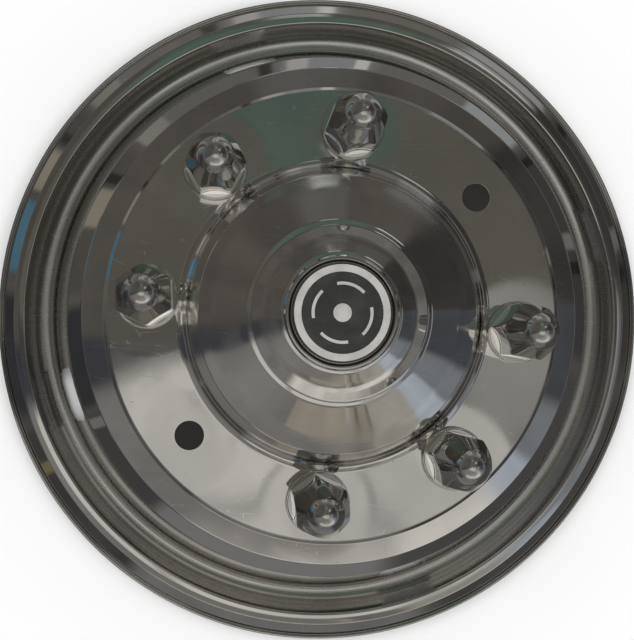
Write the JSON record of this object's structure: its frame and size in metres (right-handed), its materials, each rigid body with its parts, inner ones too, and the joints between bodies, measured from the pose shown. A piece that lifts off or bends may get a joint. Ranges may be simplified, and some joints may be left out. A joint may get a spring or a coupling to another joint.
{
  "type": "truck wheel simulator",
  "caption": "Polished stainless front wheel liner with a rolled lip, a bulging face, a stepped hub with a round badge, acorn-topped hex nut covers and plain stud holes.",
  "frame": {"origin": "centre of the wheel axis on the plane of the lip's back edge", "axes": "+Z along the wheel axis, out of the face; +X through the first nut cover, so the lug places stand at whole steps of 45 degrees from it"},
  "size_m": [0.508, 0.508, 0.1473],
  "materials": {
    "polished_sheet": "mirror-polished stainless sheet with fine turned brush lines and light scratches",
    "polished_cover": "mirror polished",
    "spring_steel": "plain mill finish",
    "black_badge": "satin black",
    "silver_foil": "satin silver"
  },
  "bodies": {
    "root": {"liner": "polished_sheet", "nut_cover_1": "polished_cover", "nut_cover_2": "polished_cover", "nut_cover_3": "polished_cover", "nut_cover_4": "polished_cover", "nut_cover_5": "polished_cover", "nut_cover_6": "polished_cover", "retainer_1": "spring_steel", "retainer_2": "spring_steel", "retainer_3": "spring_steel", "retainer_4": "spring_steel", "retainer_5": "spring_steel", "retainer_6": "spring_steel", "badge_disc": "black_badge", "badge_ring": "silver_foil", "badge_arcs": "silver_foil", "badge_button": "silver_foil"}
  },
  "joints": []
}
